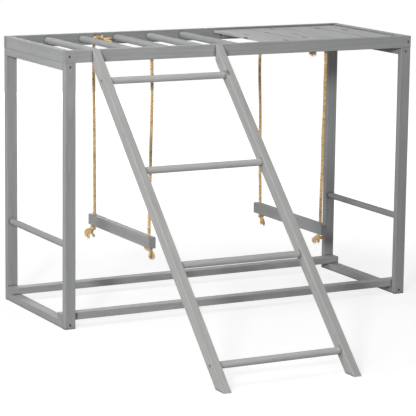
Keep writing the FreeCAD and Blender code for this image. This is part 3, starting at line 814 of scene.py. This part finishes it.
def hung_rope(side, way, row, inward, number, material):
    """One rope of a swing with its two knots. Way and inward point to its tails and to the other rope."""
    name = "%s_%s" % (side, row)
    node = "%s_swing_%s" % (side, row)
    body = side + "_swing"
    route = ROPE_ROUTES[name]
    line = smooth_line(route, ROPE_DETAIL, ROPE_SPACING)
    shape = Shape()
    shape.rope(line, ROPE_REACH, ROPE_PITCH, number + way)
    shape.whiskers(line, ROPE_REACH, ROPE_WHISKERS, random.Random(name))
    rope = shape.piece(name + "_laid_rope", material, body, node + "_rope")
    mouth = Vector(route[-1])
    down = Vector((BAR_KNOT_LEAN[0] * way, BAR_KNOT_LEAN[1] * inward, -1))
    shift, size = BAR_KNOTS[name]
    lower = knot(name + "_bar_knot", mouth + Vector(shift), size, down, number * BAR_KNOT_TURN + way, mouth,
                 BAR_TAILS[name], BAR_STRAND, body, material, node + "_knot")
    start = Vector(route[0])
    heading = Vector((way, 0, HITCH_SLOPES[side]))
    upper = knot(name + "_hitch_knot", start, HITCH_KNOT, heading, number * HITCH_TURN + way, start,
                 HITCH_TAILS[name], HITCH_STRAND, body, material, node + "_hitch")


def swings(material):
    """The ropes of both swings."""
    for side, way in (("left", 1), ("right", -1)):
        for number, (row, inward) in enumerate((("front", 1), ("rear", -1))):
            hung_rope(side, way, row, inward, number, material)


def finishes():
    """Words in the names of CAD pieces, and the material of the pieces that they name first."""
    holes = screw_holes()
    return (
        (("staples",), steel("galvanised_wire", WIRE_TONES, WIRE_ROUGH)),
        (("screws", "nails"), steel("screw_steel", SCREW_TONES, SCREW_ROUGH)),
        (("stringer",), wood("stringer_wood", GRAIN_SLOPE, PALE, holes["stringer"])),
        (("rung",), wood("rung_wood", GRAIN_X, RUNG_PALE, eased=False)),
        # Painted shade: the right end perch takes the darker SHADED stain because it stands in shade
        (("right_end_perch",), wood("shaded_perch_wood", GRAIN_Y, SHADED, eased=False)),
        (("perch",), wood("perch_wood", GRAIN_Y, eased=False)),
        (("post",), wood("post_wood", GRAIN_Z, holes=holes["post"])),
        (("front_tray",), wood("front_tray_wood", GRAIN_X, holes=holes["front_tray"])),
        # Painted shade: the rear tray rail takes the darker SHADED stain because its inner face stands in
        # shade
        (("rear_tray",), wood("shaded_rear_tray_wood", GRAIN_X, SHADED, holes["rear_tray"])),
        (("top_end_rail",), wood("top_end_wood", GRAIN_Y, holes=holes["top_end_rail"])),
        (("bottom_end_rail",), wood("bottom_end_wood", GRAIN_Y, holes=holes["bottom_end_rail"])),
        (("tray_rail", "swing_bar"), wood("side_wood", GRAIN_Y)),
        (("board",), wood("board_wood", GRAIN_Y, BOARD_LIGHT, marks=BOARD_MARKS, rings=BOARD_RINGS)),
        (("bottom_rail", "strip", "cleat"), wood("long_wood", GRAIN_X, LONG_LIGHT)),
    )


def dress_nodes():
    """Materials of the CAD pieces, by the words in their names."""
    choices = finishes()
    for name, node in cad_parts.items():
        for words, material in choices:
            if any(word in name for word in words):
                for slot in node.material_slots:
                    slot.material = material
                break


def white_in_view(nodes):
    """1 for what the camera sees directly or in a gloss, so that the surroundings stay white there."""
    path = nodes.add("ShaderNodeLightPath")
    seen = nodes.math("MAXIMUM", path.outputs["Is Camera Ray"], path.outputs["Is Glossy Ray"])
    return nodes.math("MAXIMUM", seen, path.outputs["Is Transmission Ray"])


def pale_floor():
    """A pale floor that keeps the shadow."""
    mesh = bpy.data.meshes.new("floor")
    half = FLOOR_SIZE / 2
    corners = [(-half, -half, 0), (half, -half, 0), (half, half, 0), (-half, half, 0)]
    mesh.from_pydata(corners, [], [(0, 1, 2, 3)])
    floor = bpy.data.objects.new("floor", mesh)
    bpy.context.scene.collection.objects.link(floor)
    material, nodes = new_material("floor_white")
    plain = nodes.add("ShaderNodeBsdfDiffuse", {"Color": FLOOR_COLOUR})
    shade = nodes.add("ShaderNodeBsdfDiffuse", {"Color": FLOOR_SHADE})
    away = nodes.vector("DISTANCE", nodes.add("ShaderNodeTexCoord").outputs["Object"], (0, 0, 0))
    strength = nodes.between(away, GLOW_SPAN, GLOW_ENDS)
    glow = nodes.add("ShaderNodeEmission", {"Color": WHITE, "Strength": strength})
    lit = nodes.add("ShaderNodeAddShader", {0: shade.outputs[0], 1: glow.outputs[0]})
    choice = {0: white_in_view(nodes), 1: plain.outputs[0], 2: lit.outputs[0]}
    chosen = nodes.add("ShaderNodeMixShader", choice)
    nodes.add("ShaderNodeOutputMaterial", {"Surface": chosen.outputs[0]})
    mesh.materials.append(material)


def studio():
    """A white world that gives the object a little light from all sides."""
    world = bpy.data.worlds.new("studio")
    bpy.context.scene.world = world
    world.use_nodes = True
    nodes = Nodes(world.node_tree)
    seen = nodes.add("ShaderNodeBackground", {"Color": WHITE, "Strength": 1.0})
    soft = nodes.add("ShaderNodeBackground", {"Color": WHITE, "Strength": AMBIENT})
    choice = {0: white_in_view(nodes), 1: soft.outputs[0], 2: seen.outputs[0]}
    chosen = nodes.add("ShaderNodeMixShader", choice)
    nodes.add("ShaderNodeOutputWorld", {"Surface": chosen.outputs[0]})


def lamps():
    for name, place, target, size, power in LAMPS:
        light = bpy.data.lights.new(name, "AREA")
        light.shape = "SQUARE"
        light.size = size
        light.energy = power
        lamp = bpy.data.objects.new(name, light)
        bpy.context.scene.collection.objects.link(lamp)
        lamp.location = place
        lamp.rotation_mode = "QUATERNION"
        lamp.rotation_quaternion = (Vector(target) - Vector(place)).to_track_quat("-Z", "Y")


def camera():
    data = bpy.data.cameras.new("camera")
    data.lens = LENS
    data.sensor_width = SENSOR
    data.clip_end = VIEW_END
    made = bpy.data.objects.new("camera", data)
    bpy.context.scene.collection.objects.link(made)
    up = -CAMERA_DOWN
    back = CAMERA_RIGHT.cross(up)
    for column, axis in enumerate((CAMERA_RIGHT, up, back, CAMERA_PLACE)):
        for row in range(3):
            made.matrix_world[row][column] = axis[row]
    bpy.context.scene.camera = made


bpy.context.scene.view_settings.view_transform = "Standard"
camera()
lamps()
pale_floor()
studio()
dress_nodes()
swings(rope_fibre("rope_fibre"))
